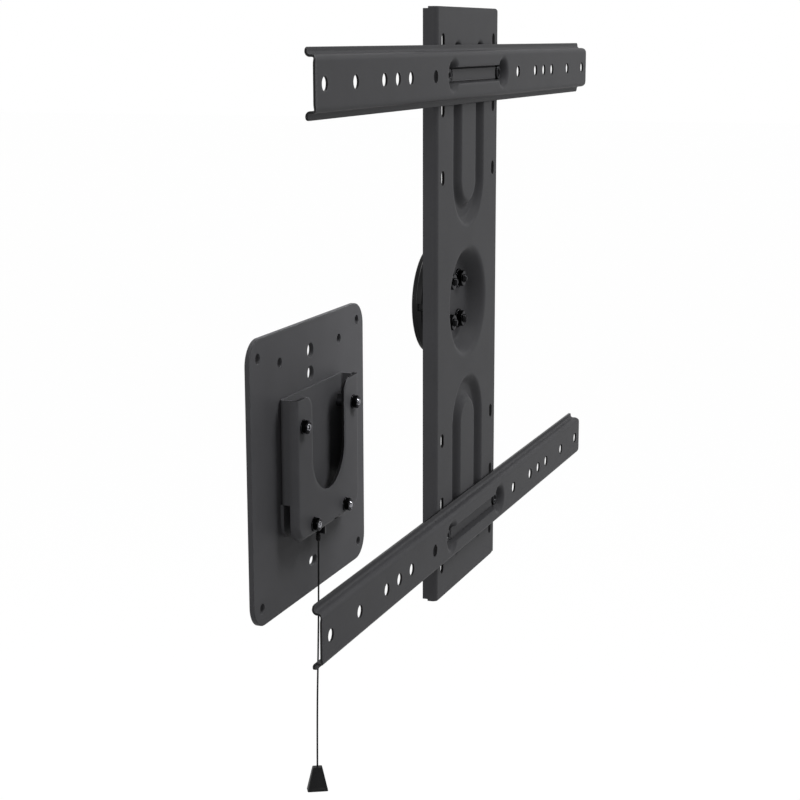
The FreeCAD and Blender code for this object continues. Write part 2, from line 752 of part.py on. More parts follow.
def arm_bolt(x, z):
    """A button-head bolt with a hexagon recess, seated on the well's floor."""
    seat = arm_depth - arm_sheet
    radius = arm_bolt_head_diameter / 2
    top = seat - arm_bolt_head_height
    end = column_sheet_back + washer_thickness + nut_height + arm_bolt_end
    head = turned_y([(0, top), (radius, top), (radius, seat), (0, seat)],
                    [0, arm_bolt_head_round, 0, 0], x, z)
    shank = rod_y(arm_bolt_diameter, x, z, seat, end)
    recess = hex_prism_y(hex_key_width, x, z, top - 1, top + hex_key_depth)
    return fused([head, shank]).cut(recess)


def hub_neck():
    """The round neck between the column's dish and the rotor disc."""
    neck = rod_y(neck_diameter, 0, 0, dish_floor_back, disc_front)
    for x, z in hub_bolt_places():
        neck = neck.cut(rod_y(hub_bolt_diameter + 2 * fit_gap, x, z, dish_floor_back - 1, disc_front + 1))
    return neck


def rotor_disc():
    """The disc that turns in the socket, with a latch notch at each quarter turn."""
    radius = disc_diameter / 2
    disc = turned_y([(0, disc_front), (radius, disc_front), (radius, disc_back), (0, disc_back)],
                    [0, disc_edge_radius, disc_edge_radius, 0], 0, 0)
    notch = latch_pin_diameter + notch_clearance
    cuts = []
    for quarter in range(4):
        cut = box(radius - notch_depth, radius + 1, disc_front - 1, disc_back + 1, -notch / 2, notch / 2)
        cuts.append(cut.rotated(Vec(0, 0, 0), Vec(0, 1, 0), 90 * quarter))
    sink = disc_back - hub_bolt_head_height
    for x, z in hub_bolt_places():
        cuts.append(rod_y(hub_bolt_diameter + 2 * fit_gap, x, z, disc_front - 1, disc_back + 1))
        cuts.append(cone_y(hub_bolt_diameter + 2 * fit_gap, hub_bolt_head_diameter + 2 * fit_gap,
                           x, z, sink, disc_back))
    return disc.cut(Part.makeCompound(cuts))


def rotor_glide():
    """The plastic ring behind the disc, which runs on the channel's web."""
    inner = glide_bore / 2
    outer = glide_diameter / 2
    return turned_y([(inner, disc_back), (outer, disc_back), (outer, glide_back), (inner, glide_back)],
                    [0, 0, disc_edge_radius, 0], 0, 0)


def hub_bolt(x, z):
    """A flat-head bolt from the disc's back, with its nut in the dish."""
    end = dish_floor_front - hub_washer_thickness - hub_nut_height - hub_bolt_end
    sink = disc_back - hub_bolt_head_height
    head = cone_y(hub_bolt_diameter, hub_bolt_head_diameter, x, z, sink, disc_back)
    shank = thread_end(hub_bolt_diameter, x, z, end, sink)
    recess = hex_prism_y(hub_key_width, x, z, disc_back - hex_key_depth, disc_back + 1)
    return fused([head, shank]).cut(recess)


def save(name, shape):
    """Write one named piece as its own STEP file."""
    shape.exportStep("parts/" + name + ".step")
    print(name, len(shape.Solids), shape.isValid(), round(shape.Volume, 1))


def save_tv(name, shape):
    """Write one piece of the television half, moved to where it is held."""
    save(name, shape.translated(tv_offset))


def save_wall_half():
    """The plate, the socket and its fasteners."""
    save("wall_plate", wall_plate())
    save("socket_channel", socket_channel())
    save("socket_front", socket_front_plate())
    bore = stud_diameter + 2 * fit_gap
    washer_front = socket_front - washer_thickness
    for number, (x, z) in enumerate(stud_places(), 1):
        save("socket_stud_%d" % number, socket_stud(x, z))
        save("spacer_sleeve_%d" % number, spacer_sleeve(x, z))
        save("socket_washer_%d" % number, washer(bore, x, z, washer_front, socket_front))
        save("socket_nut_%d" % number, nut(bore, x, z, washer_front - nut_height, washer_front))
    save("latch_guide", latch_guide())
    for number, (x, z) in enumerate(guide_screw_places(), 1):
        save("guide_screw_%d" % number, guide_screw(x, z))


def save_latch():
    """The sprung latch and what hangs from it."""
    save("latch_pin", latch_pin())
    save("latch_clip", latch_clip())
    save("latch_spring", latch_spring())
    save("cord_knot", cord_knot())
    save("pull_cord", pull_cord())
    save("cord_pull", cord_pull())


def save_tv_half():
    """The column, the arms, the hub and their fasteners."""
    save_tv("column", column())
    arm = television_arm()
    save_tv("upper_arm", arm.translated(Vec(0, 0, arm_spacing / 2)))
    save_tv("lower_arm", arm.translated(Vec(0, 0, -arm_spacing / 2)))
    bore = arm_bolt_diameter + 2 * fit_gap
    number = 0
    for level in (1, -1):
        for side in (-1, 1):
            number += 1
            x, z = side * column_slot_pitch / 2, level * arm_spacing / 2
            washer_back = column_sheet_back + washer_thickness
            save_tv("arm_bolt_%d" % number, arm_bolt(x, z))
            save_tv("arm_washer_%d" % number, washer(bore, x, z, column_sheet_back, washer_back))
            save_tv("arm_nut_%d" % number, nut(bore, x, z, washer_back, washer_back + nut_height))
    save_tv("hub_neck", hub_neck())
    save_tv("rotor_disc", rotor_disc())
    save_tv("rotor_glide", rotor_glide())
    bore = hub_bolt_diameter + 2 * fit_gap
    washer_front = dish_floor_front - hub_washer_thickness
    for number, (x, z) in enumerate(hub_bolt_places(), 1):
        save_tv("hub_bolt_%d" % number, hub_bolt(x, z))
        save_tv("hub_washer_%d" % number, washer(bore, x, z, washer_front, dish_floor_front, hub_washer_diameter))
        save_tv("hub_nut_%d" % number, nut(bore, x, z, washer_front - hub_nut_height, washer_front, hub_nut_width))


save_wall_half()
save_latch()
save_tv_half()
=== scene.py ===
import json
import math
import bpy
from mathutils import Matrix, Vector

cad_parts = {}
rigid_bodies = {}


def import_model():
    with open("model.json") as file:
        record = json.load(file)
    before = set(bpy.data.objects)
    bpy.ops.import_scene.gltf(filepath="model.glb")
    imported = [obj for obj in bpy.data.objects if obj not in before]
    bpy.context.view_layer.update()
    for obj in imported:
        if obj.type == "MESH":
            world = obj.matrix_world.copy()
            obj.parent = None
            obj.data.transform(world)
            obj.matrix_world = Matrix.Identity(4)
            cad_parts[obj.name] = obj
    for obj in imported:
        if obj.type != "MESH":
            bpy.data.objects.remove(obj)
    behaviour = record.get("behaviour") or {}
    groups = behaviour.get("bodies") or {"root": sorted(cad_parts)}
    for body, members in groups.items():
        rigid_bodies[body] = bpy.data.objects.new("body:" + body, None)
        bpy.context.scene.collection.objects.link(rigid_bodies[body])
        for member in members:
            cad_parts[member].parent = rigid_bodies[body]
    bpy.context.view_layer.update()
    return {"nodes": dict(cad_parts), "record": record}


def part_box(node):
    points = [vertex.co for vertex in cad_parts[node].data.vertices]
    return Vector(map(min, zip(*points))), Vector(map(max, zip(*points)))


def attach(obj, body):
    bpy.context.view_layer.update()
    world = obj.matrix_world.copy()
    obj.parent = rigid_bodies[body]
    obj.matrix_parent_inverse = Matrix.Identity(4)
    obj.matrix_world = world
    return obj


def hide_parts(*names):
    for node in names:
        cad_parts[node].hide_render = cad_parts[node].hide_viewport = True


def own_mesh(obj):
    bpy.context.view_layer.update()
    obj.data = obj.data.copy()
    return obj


bl_info = {
    "name": "Rotating television wall mount",
    "version": (1, 0, 0),
    "blender": (4, 5, 0),
    "location": "3D View > Sidebar > TV mount",
    "description": "Builds a wall plate with a latch cord and the turning bracket that hooks onto it",
    "category": "Add Mesh",
}

import bpy
import numpy as np
from bpy.props import FloatProperty, FloatVectorProperty, PointerProperty
from mathutils import Matrix, Vector

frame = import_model()
NODES = frame["nodes"]


def linear(hex_colour):
    """An sRGB hex colour as linear red, green and blue: the sRGB curve undone channel by channel."""
    code = hex_colour.lstrip("#")
    channels = np.array([int(code[i:i + 2], 16) for i in (0, 2, 4)]) / 255.0
    low = channels / 12.92
    high = ((channels + 0.055) / 1.055) ** 2.4
    return tuple(float(c) for c in np.where(channels <= 0.04045, low, high))


# The route of the pull cord, the same points as in the CAD source, in metres.
CORD_ROUTE = [(0.0, -0.0091, -0.0695), (-0.0012, -0.0092, -0.118), (-0.0052, -0.0098, -0.168),
              (-0.0096, -0.0101, -0.218), (-0.0113, -0.0104, -0.2685)]

# Places below are in millimetres. The television half is drawn about its hub, with the arms' front at Y 0.
TV_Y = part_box("upper_arm")[0].y * 1000
TV_Z = sum(corner.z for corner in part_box("column")) * 500
COLUMN_SHEET, ARM_SHEET, SOCKET_SHEET = 2.0, 1.5, 2.5
ARM_PITCH = 350.0
COLUMN_HALF_WIDTH, COLUMN_HALF_LENGTH, COLUMN_FRONT = 73.5, 224.5, 8.7
# The arms are bolted to upright slots of the column at X SLOT_REACH to both sides.
SLOT_REACH = 60.0
SLOT_LEVELS = (100.0, 150.0, 175.0, 200.0)
SCREW_HOLES = (100.0, 150.0, 175.0, 200.0, 250.0, 300.0)
HUB_BOLTS = [(-11.5, 16.0), (11.5, 16.0), (-11.5, -16.0), (11.5, -16.0)]
# The visible threads: radius, pitch and depth, and how finely a thread's profile is divided along its axis.
THREAD_RADIUS, THREAD_PITCH, THREAD_DEPTH, THREAD_STEP = 3.0, 1.0, 0.4, 0.125
WASHER_BORE = 3.1


class MOUNT_PG_sizes(bpy.types.PropertyGroup):
    """Sizes a user would change."""

    cord_diameter: FloatProperty(name="Cord diameter", description="Thickness of the braided pull cord",
                                 default=0.0015, min=0.0008, max=0.003, unit="LENGTH")
    floor_drop: FloatProperty(name="Floor drop", description="How far the floor lies under the plate's centre",
                              default=1.15, min=0.4, max=2.0, unit="LENGTH")


class MOUNT_PG_finishes(bpy.types.PropertyGroup):
    """Colours a user would change."""

    powder_coat: FloatVectorProperty(name="Powder coat", description="Colour of the powder-coated sheet steel",
                                     subtype="COLOR", default=linear("#3F3F41"), min=0.0, max=1.0)
    fastener: FloatVectorProperty(name="Fasteners", description="Colour of the black zinc on nuts and bolts",
                                  subtype="COLOR", default=linear("#1A1A1B"), min=0.0, max=1.0)
    rotor: FloatVectorProperty(name="Rotor", description="Colour of the rotor disc's paint",
                               subtype="COLOR", default=linear("#0F0F10"), min=0.0, max=1.0)
    nylon: FloatVectorProperty(name="Nylon", description="Colour of the moulded nylon pieces",
                               subtype="COLOR", default=linear("#0E0E0F"), min=0.0, max=1.0)
    cord: FloatVectorProperty(name="Cord", description="Colour of the braided cord",
                              subtype="COLOR", default=linear("#101011"), min=0.0, max=1.0)


# Materials.

def node(tree, kind, links=(), values=None, **settings):
    """Add one shader node: links are (output socket, input) pairs, values are its inputs' values by name or
    number, and settings are its own attributes."""
    made = tree.nodes.new(kind)
    for name, setting in settings.items():
        setattr(made, name, setting)
    for name, value in (values or {}).items():
        made.inputs[name].default_value = value
    for source, target in links:
        tree.links.new(source, made.inputs[target])
    return made


def principled(name, colour, roughness, metallic=0.0):
    """A new material with one Principled shader, its tree and its shader."""
    made = bpy.data.materials.new(name)
    made.use_nodes = True
    tree = made.node_tree
    shader = tree.nodes["Principled BSDF"]
    shader.inputs["Base Color"].default_value = (*colour, 1.0)
    shader.inputs["Roughness"].default_value = roughness
    shader.inputs["Metallic"].default_value = metallic
    return made, tree, shader


def powder_coat(colour):
    """Polyester powder coat on steel, fine texture: an even satin grey with a sandy grain that breaks up
    its gloss."""
    made, tree, shader = principled("powder_coat_fine_texture", colour, 0.5)
    # The grain scatters most of the gloss, so the sheet stays grey also where it is seen at a slant.
    shader.inputs["Specular IOR Level"].default_value = 0.05
    place = node(tree, "ShaderNodeTexCoord").outputs["Object"]
    # The real grain is about 0.3 mm; it is drawn at 0.9 mm so that it still shows.
    grain = node(tree, "ShaderNodeTexNoise", [(place, "Vector")],
                 {"Scale": 1 / 0.0009, "Detail": 3.0, "Roughness": 0.6})
    # Thickness of the coat varies over some 30 mm and shades the colour by a few percent.
    drift = node(tree, "ShaderNodeTexNoise", [(place, "Vector")], {"Scale": 1 / 0.03, "Detail": 2.0})
    tone = node(tree, "ShaderNodeMapRange", [(drift.outputs["Fac"], "Value")], {"To Min": 0.9, "To Max": 1.1})
    speck = node(tree, "ShaderNodeMapRange", [(grain.outputs["Fac"], "Value")], {"To Min": 0.86, "To Max": 1.14})
    shade = node(tree, "ShaderNodeMath", [(tone.outputs["Result"], 0), (speck.outputs["Result"], 1)],
                 operation="MULTIPLY")
    paint = node(tree, "ShaderNodeVectorMath", [(shade.outputs[0], "Scale")], {0: colour}, operation="SCALE")
    gloss = node(tree, "ShaderNodeMapRange", [(grain.outputs["Fac"], "Value")], {"To Min": 0.4, "To Max": 0.58})
    bump = node(tree, "ShaderNodeBump", [(grain.outputs["Fac"], "Height")], {"Strength": 0.25, "Distance": 0.0003})
    tree.links.new(paint.outputs[0], shader.inputs["Base Color"])
    tree.links.new(gloss.outputs["Result"], shader.inputs["Roughness"])
    tree.links.new(bump.outputs["Normal"], shader.inputs["Normal"])
    return made


def black_zinc(name, colour):
    """Black passivated zinc on steel: a dark metal sheen, glossy, with faint clouds from the bath."""
    made, tree, shader = principled(name, colour, 0.16, 1.0)
    # The black film swallows some of the light at a slant, where bare metal would turn white.
    shader.inputs["Specular Tint"].default_value = (0.65, 0.65, 0.66, 1.0)
    place = node(tree, "ShaderNodeTexCoord").outputs["Object"]
    clouds = node(tree, "ShaderNodeTexNoise", [(place, "Vector")], {"Scale": 1 / 0.004, "Detail": 4.0})
    gloss = node(tree, "ShaderNodeMapRange", [(clouds.outputs["Fac"], "Value")], {"To Min": 0.1, "To Max": 0.22})
    tree.links.new(gloss.outputs["Result"], shader.inputs["Roughness"])
    return made


def plain(name, colour, roughness, metallic, grain_size, spread):
    """A smooth finish whose gloss varies by spread over grain_size metres, on bumps a fifth of that deep."""
    made, tree, shader = principled(name, colour, roughness, metallic)
    shader.inputs["Specular IOR Level"].default_value = 0.12
    place = node(tree, "ShaderNodeTexCoord").outputs["Object"]
    grain = node(tree, "ShaderNodeTexNoise", [(place, "Vector")], {"Scale": 1 / grain_size, "Detail": 3.0})
    gloss = node(tree, "ShaderNodeMapRange", [(grain.outputs["Fac"], "Value")],
                 {"To Min": roughness - spread, "To Max": roughness + spread})
    bump = node(tree, "ShaderNodeBump", [(grain.outputs["Fac"], "Height")],
                {"Strength": 0.1, "Distance": grain_size * 0.2})
    tree.links.new(gloss.outputs["Result"], shader.inputs["Roughness"])
    tree.links.new(bump.outputs["Normal"], shader.inputs["Normal"])
    return made


def seen_directly(tree):
    """1 for camera, glossy and transmission rays, which see the white surroundings, and 0 for the rays that
    light the object."""
    rays = node(tree, "ShaderNodeLightPath").outputs
    seen = node(tree, "ShaderNodeMath", [(rays["Is Camera Ray"], 0), (rays["Is Glossy Ray"], 1)], operation="ADD")
    seen = node(tree, "ShaderNodeMath", [(seen.outputs[0], 0), (rays["Is Transmission Ray"], 1)],
                operation="ADD", use_clamp=True)
    return seen.outputs[0]


def dress(piece, material):
    """Give an object one material in place of what it has."""
    piece.data.materials.clear()
    piece.data.materials.append(material)


# Surfaces worked out with numpy.

def grid_piece(name, points, body, material, keep=None, closed=(False, False)):
    """A mesh over a grid of points in millimetres: each cell of the grid is one quad, apart from those that
    keep leaves out. closed joins the last row or column to the first."""
    rows, columns = points.shape[:2]
    index = np.arange(rows * columns).reshape(rows, columns)
    if closed[0]:
        index = np.vstack([index, index[:1]])
    if closed[1]:
        index = np.hstack([index, index[:, :1]])
    faces = np.stack([index[:-1, :-1], index[1:, :-1], index[1:, 1:], index[:-1, 1:]], axis=-1)
    faces = faces.reshape(-1, 4) if keep is None else faces[keep]
    used, faces = np.unique(faces, return_inverse=True)
    faces = faces.reshape(-1, 4)
    places = points.reshape(-1, 3)[used] * 0.001
    mesh = bpy.data.meshes.new(name)
    mesh.from_pydata(places.tolist(), [], faces.tolist())
    mesh.polygons.foreach_set("use_smooth", np.ones(len(mesh.polygons), bool))
    mesh.validate()
    mesh.update()
    piece = bpy.data.objects.new(name, mesh)
    bpy.context.scene.collection.objects.link(piece)
    dress(piece, material)
    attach(piece, body)
    return piece


def close_poles(piece):
    """Merge the points of a first or last row that has shrunk to one place."""
    piece.modifiers.new("poles", "WELD").merge_threshold = 0.000001


def soften(piece, width, segments=2, angle=35.0):
    """Round a piece's sharp edges by width millimetres and keep its flats flat in shading."""
    bevel = piece.modifiers.new("edges", "BEVEL")
    bevel.width = width * 0.001
    bevel.segments = segments
    bevel.limit_method = "ANGLE"
    bevel.angle_limit = math.radians(angle)
    bevel.use_clamp_overlap = True
    piece.modifiers.new("flats", "WEIGHTED_NORMAL").keep_sharp = False


def thicken(piece, thickness):
    """Give a sheet its thickness, behind the face that was drawn, with painted shade on its cut edges: a nearly
    black material that stands in for the shadow inside slots and holes.
    """
    piece.data.materials.append(bpy.data.materials["powder_coat_on_cut_edges"])
    solid = piece.modifiers.new("sheet", "SOLIDIFY")
    # The rim faces, the sheet's cut edges, take the second material: the nearly black painted shade.
    solid.material_offset_rim = 1
    solid.thickness = thickness * 0.001
    solid.offset = -1.0
    solid.use_even_offset = True
    solid.use_quality_normals = True


def rolled_profile(outer, floor, depth, rim, foot):
    """Depth of a pressed form over the distance from its middle: flat floor, a foot arc, a straight wall, a rim
    arc and the sheet's face. Returns the two arrays that np.interp takes."""
    slope = math.atan2(depth, outer - floor)
    turn = np.linspace(0.0, slope, 9)
    foot_start = floor - foot * math.tan(slope / 2)
    rim_end = outer + rim * math.tan(slope / 2)
    foot_r = foot_start + foot * np.sin(turn)
    foot_d = depth - foot * (1 - np.cos(turn))
    rim_r = rim_end - rim * np.sin(turn[::-1])
    rim_d = rim * (1 - np.cos(turn[::-1]))
    return np.concatenate([foot_r, rim_r]), np.concatenate([foot_d, rim_d])


def pressed(distance, form):
    """Depth of a pressed form at a distance from its middle."""
    return np.interp(distance, form[0], form[1], right=0.0)


def punch(x, z, holes, reach):
    """Snap grid points onto the outlines of holes, and say which points lie outside all of them.

    A hole is a centre, a radius and half the length of its upright straight part. A point within reach of an
    outline moves onto it along the line from the hole's middle line."""
    outside = []
    for centre_x, centre_z, radius, half in holes:
        dx = x - centre_x
        middle = centre_z + np.clip(z - centre_z, -half, half)
        dz = z - middle
        distance = np.hypot(dx, dz)
        gap = distance - radius
        near = np.abs(gap) <= reach
        share = radius / np.maximum(distance, 1e-6)
        x = np.where(near, centre_x + dx * share, x)
        z = np.where(near, middle + dz * share, z)
        outside.append(gap > reach)
    return x, z, outside


def kept_faces(outside):
    """Cells of the grid that keep at least one corner outside each hole."""
    keep = True
    for grid in outside:
        keep = keep & (grid[:-1, :-1] | grid[1:, :-1] | grid[1:, 1:] | grid[:-1, 1:])
    return keep


def lines(spans):
    """Grid lines from a list of (start, step) spans and a last end, evened out in each span."""
    parts = []
    for (start, step), (end, _) in zip(spans, spans[1:]):
        count = max(1, int(round((end - start) / step)))
        parts.append(np.linspace(start, end, count, endpoint=False))
    return np.concatenate(parts + [[spans[-1][0]]])


def turned(profile, segments=48, wobble=None):
    """Points of a profile of (radius, y) pairs turned about the Y axis. wobble changes the radius by angle."""
    profile = np.array(profile, float)
    angle = np.linspace(0.0, 2 * math.pi, segments, endpoint=False)
    radius = np.repeat(profile[:, :1], segments, axis=1)
    if wobble is not None:
        radius = wobble(radius, angle[None, :], profile[:, 1:])
    along = np.repeat(profile[:, 1:], segments, axis=1)
    return np.stack([radius * np.cos(angle), along, radius * np.sin(angle)], axis=-1)


def hexagon(angle, width):
    """Radius of a hexagon of that width across flats at each angle, its corners rounded a little: the flat's
    distance over the cosine of the angle from the flat's middle, and less by rounding towards a corner."""
    half_side, rounding = math.pi / 6, 0.06
    off = (angle + half_side) % (2 * half_side) - half_side
    return width / 2 / np.cos(off) * (1 - rounding * (np.abs(off) / half_side) ** 8)


def spot(name):
    """Where a node stands, in millimetres: the X and Z of its middle, and its lowest and highest Y."""
    low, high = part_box(name)
    return np.array([(low.x + high.x) / 2, (low.z + high.z) / 2, low.y, high.y]) * 1000


def lathe(name, node_name, profile, body, material, segments=48, wobble=None, ring=False):
    """A turned piece in place of a node: the profile of (radius, y) is carried round the Y line through the
    node's middle. It runs from the front outwards and back, so that its faces point outwards; a ring's profile
    closes on itself round the bore."""
    x, z, _, _ = spot(node_name)
    points = turned(profile, segments, wobble) + np.array([x, 0.0, z])
    piece = grid_piece(name, points, body, material, closed=(ring, True))
    if not ring:
        close_poles(piece)
    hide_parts(node_name)
    return piece


def screw(low, high):
    """Profile points of a thread between two Y places, close enough together for the thread's wobble."""
    return [(THREAD_RADIUS, y) for y in np.arange(low, high, THREAD_STEP)]


def threaded(low, high):
    """Wobble of a thread between two Y places: the radius falls by a triangle wave of the helix's phase, which is
    y over the pitch less the share of a turn."""
    def wobble(radius, angle, along):
        phase = (along / THREAD_PITCH - angle / (2 * math.pi)) % 1.0
        groove = THREAD_DEPTH * (1.0 - np.abs(2.0 * phase - 1.0))
        inside = (along > low) & (along < high)
        return radius - np.where(inside, groove, 0.0)
    return wobble


def nut_wobble(width, bore, front, back, chamfer):
    """Wobble of a hexagon nut: outside the bore the radius is the hexagon's, cut by a cone at both faces. The
    cone starts at the flats, and chamfer from the face it is just past the corners."""
    past_corners = 0.1566
    slope = past_corners * width / 2 / chamfer

    def wobble(radius, angle, along):
        cone = width / 2 + np.minimum(along - front, back - along) * slope
        return np.where(radius > bore * 1.02, np.minimum(radius, np.minimum(hexagon(angle, width), cone)), radius)
    return wobble


class MOUNT_OT_camera(bpy.types.Operator):
    """Set the camera to the photograph's viewing angle"""

    bl_idname = "mount.camera"
    bl_label = "Camera"

    def execute(self, context):
        # One pinhole camera, fitted to the arm holes and column slots of the photograph.
        azimuth, elevation, roll = (math.radians(a) for a in (-69.203, 11.824, -0.146))
        focal_pixels, picture_pixels, place = 1728.79, 800.0, (-1.27554, -0.56677, 0.33959)
        forward = np.array([-math.sin(azimuth) * math.cos(elevation),
                            math.cos(azimuth) * math.cos(elevation), -math.sin(elevation)])
        right = np.cross(forward, (0.0, 0.0, 1.0))
        right /= np.linalg.norm(right)
        up = np.cross(right, forward)
        side = right * math.cos(roll) + up * math.sin(roll)
        top = -right * math.sin(roll) + up * math.cos(roll)
        turn = Matrix.Identity(4)
        for row in range(3):
            turn[row][0], turn[row][1], turn[row][2] = side[row], top[row], -forward[row]
        turn.translation = place
        lens = bpy.data.cameras.new("camera")
        lens.sensor_width = 36.0
        lens.lens = focal_pixels / picture_pixels * lens.sensor_width
        camera = bpy.data.objects.new("camera", lens)
        context.scene.collection.objects.link(camera)
        camera.matrix_world = turn
        context.scene.camera = camera
        return {"FINISHED"}


class MOUNT_OT_cord(bpy.types.Operator):
    """Build the pull cord on its given route"""

    bl_idname = "mount.cord"
    bl_label = "Pull cord"

    def execute(self, context):
        sizes = context.scene.mount_sizes
        curve = bpy.data.curves.new("pull_cord_line", "CURVE")
        curve.dimensions = "3D"
        curve.resolution_u = 24
        curve.bevel_depth = sizes.cord_diameter / 2
        curve.bevel_resolution = 5
        curve.use_fill_caps = True
        spline = curve.splines.new("NURBS")
        spline.points.add(len(CORD_ROUTE) - 1)
        for point, place in zip(spline.points, CORD_ROUTE):
            point.co = (*place, 1.0)
        spline.order_u = 3
        spline.use_endpoint_u = True
        cord = bpy.data.objects.new("braided_cord", curve)
        context.scene.collection.objects.link(cord)
        colour = context.scene.mount_finishes.cord
        cord.data.materials.append(plain("braided_nylon_cord", colour, 0.7, 0.0, 0.0008, 0.08))
        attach(cord, "latch")
        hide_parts("pull_cord")
        return {"FINISHED"}


class MOUNT_OT_finishes(bpy.types.Operator):
    """Give every carried-over CAD node its real finish"""

    bl_idname = "mount.finishes"
    bl_label = "Finishes"

    def execute(self, context):
        colours = context.scene.mount_finishes
        finishes = {
            "powder_coated_steel": powder_coat(colours.powder_coat),
            "black_zinc_fasteners": black_zinc("black_zinc_plated_steel", colours.fastener),
            # Plain zinc gone dull: a soft grey metal without clear reflections.
            "zinc_sleeves": plain("dull_zinc_plated_steel", linear("#2E2E30"), 0.45, 1.0, 0.003, 0.06),
            # Baked enamel: nearly black, smoother than the powder coat.
            "black_rotor_steel": plain("gloss_black_enamel_on_steel", colours.rotor, 0.4, 0.0, 0.002, 0.05),
            # Moulded nylon: black with the faint orange peel of its mould.
            "black_nylon": plain("moulded_black_nylon", colours.nylon, 0.45, 0.0, 0.001, 0.06),
            # Turned steel under black zinc: fine uneven gloss from the tool's marks.
            "latch_steel": plain("turned_black_zinc_steel", linear("#1E1E20"), 0.3, 0.6, 0.0006, 0.06),
            # Drawn spring wire: bright and clean.
            "spring_wire": plain("bright_spring_wire", linear("#B5B5B5"), 0.22, 1.0, 0.0008, 0.04),
            # Braided nylon: matt black. Its 0.3 mm plaits are drawn as a 0.8 mm grain, so that they still show.
            "black_cord": plain("knotted_nylon_cord", colours.cord, 0.7, 0.0, 0.0008, 0.08),
            # Moulded ABS: satin black.
            "black_moulded_plastic": plain("moulded_black_abs", linear("#141415"), 0.5, 0.0, 0.0007, 0.05),
        }
        # Painted shade on sheared and punched edges: a nearly black colour, with a sharp gloss, stands in for the
        # shadow inside slots and holes.
        plain("powder_coat_on_cut_edges", linear("#161617"), 0.3, 0.0, 0.001, 0.06)
        # Thread ends get a lighter zinc colour as a painted highlight: it stands in for the bright glints on them.
        black_zinc("rubbed_zinc_on_threads", linear("#8C8C90"))
        for row in frame["record"]["subparts"]:
            dress(NODES[row["node"]], finishes[row["material_slot"]])
        return {"FINISHED"}


class MOUNT_OT_column(bpy.types.Operator):
    """Build the folded column with its dish, grooves and slots"""

    bl_idname = "mount.column"
    bl_label = "Column"

    def execute(self, context):
        bend, flange_depth = 4.0, 11.0
        flat = COLUMN_HALF_WIDTH - bend
        arc = bend * math.pi / 2
        folded = flat + arc
        end = folded + flange_depth - bend
        # The flanges end short of the front's end, from a step in them outwards.
        step, step_width, shorter = folded + 3.0, 0.08, 1.4
        # Distance along the folded section, from flange edge to flange edge through the front's middle.
        half = lines([(0.0, 1.35), (flat - 14.0, 1.0), (flat - 4.0, 0.8), (folded, 1.0), (step, step_width),
                      (step + step_width, 2.0), (end, 0)])
        run = np.concatenate([-half[:0:-1], half])
        length, row = COLUMN_HALF_LENGTH, 1.4
        height = lines([(-length, row), (0.0, row), (length, 0)])
        run, height = np.meshgrid(run, height, indexing="ij")
        slot_radius, slot_straight, bolt_hole, snap = 3.3, 2.2, 4.1, 0.95
        holes = [(side * SLOT_REACH, level * place, slot_radius, slot_straight)
                 for side in (-1, 1) for level in (-1, 1) for place in SLOT_LEVELS]
        holes += [(x, z, bolt_hole, 0.0) for x, z in HUB_BOLTS]
        run, height, outside = punch(run, height, holes, snap)
        # The fold: x and y follow the flat front, a quarter turn of the bend's radius and the straight flange.
        size = np.abs(run)
        turn = np.clip((size - flat) / bend, 0.0, math.pi / 2)
        x = np.sign(run) * (np.minimum(size, flat) + bend * np.sin(turn))
        y = COLUMN_FRONT + bend * (1 - np.cos(turn)) + np.maximum(size - folded, 0.0)
        # The corners on the right are rounder, and most so at the bottom.
        corner_run = [flat - 6.0, flat - 3.0, flat, flat + 2.5, folded]
        corner_drop = [0.0, 0.3, 1.3, 3.2, 5.0]
        right = np.interp(run, corner_run, corner_drop)
        limit = length - np.where(height > 0, right, 1.3 * right) - np.where(size > step, shorter, 0.0)
        height = np.sign(height) * np.minimum(np.abs(height), limit)
        dish = rolled_profile(outer=41.5, floor=32.0, depth=12.5, rim=7.0, foot=4.0)
        groove = rolled_profile(outer=9.5, floor=4.0, depth=5.0, rim=2.0, foot=2.0)
        # Distance to a groove's middle line: two upright legs up to the tip, joined by a half circle.
        level = np.abs(height)
        leg, centre, tip = 26.5, 95.5, 190.0
        aside = np.abs(np.abs(x) - leg)
        away = np.where(level > tip, np.hypot(aside, level - tip), aside)
        away = np.where(level < centre, np.abs(np.hypot(x, level - centre) - leg), away)
        y = y + pressed(np.hypot(x, height), dish) + pressed(away, groove)
        points = np.stack([x, y, height], axis=-1) + np.array([0.0, TV_Y, TV_Z])
        column = grid_piece("pressed_column", points, "tv_half",
                            NODES["column"].data.materials[0], kept_faces(outside))
        thicken(column, COLUMN_SHEET)
        soften(column, 0.3)
        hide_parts("column")
        return {"FINISHED"}


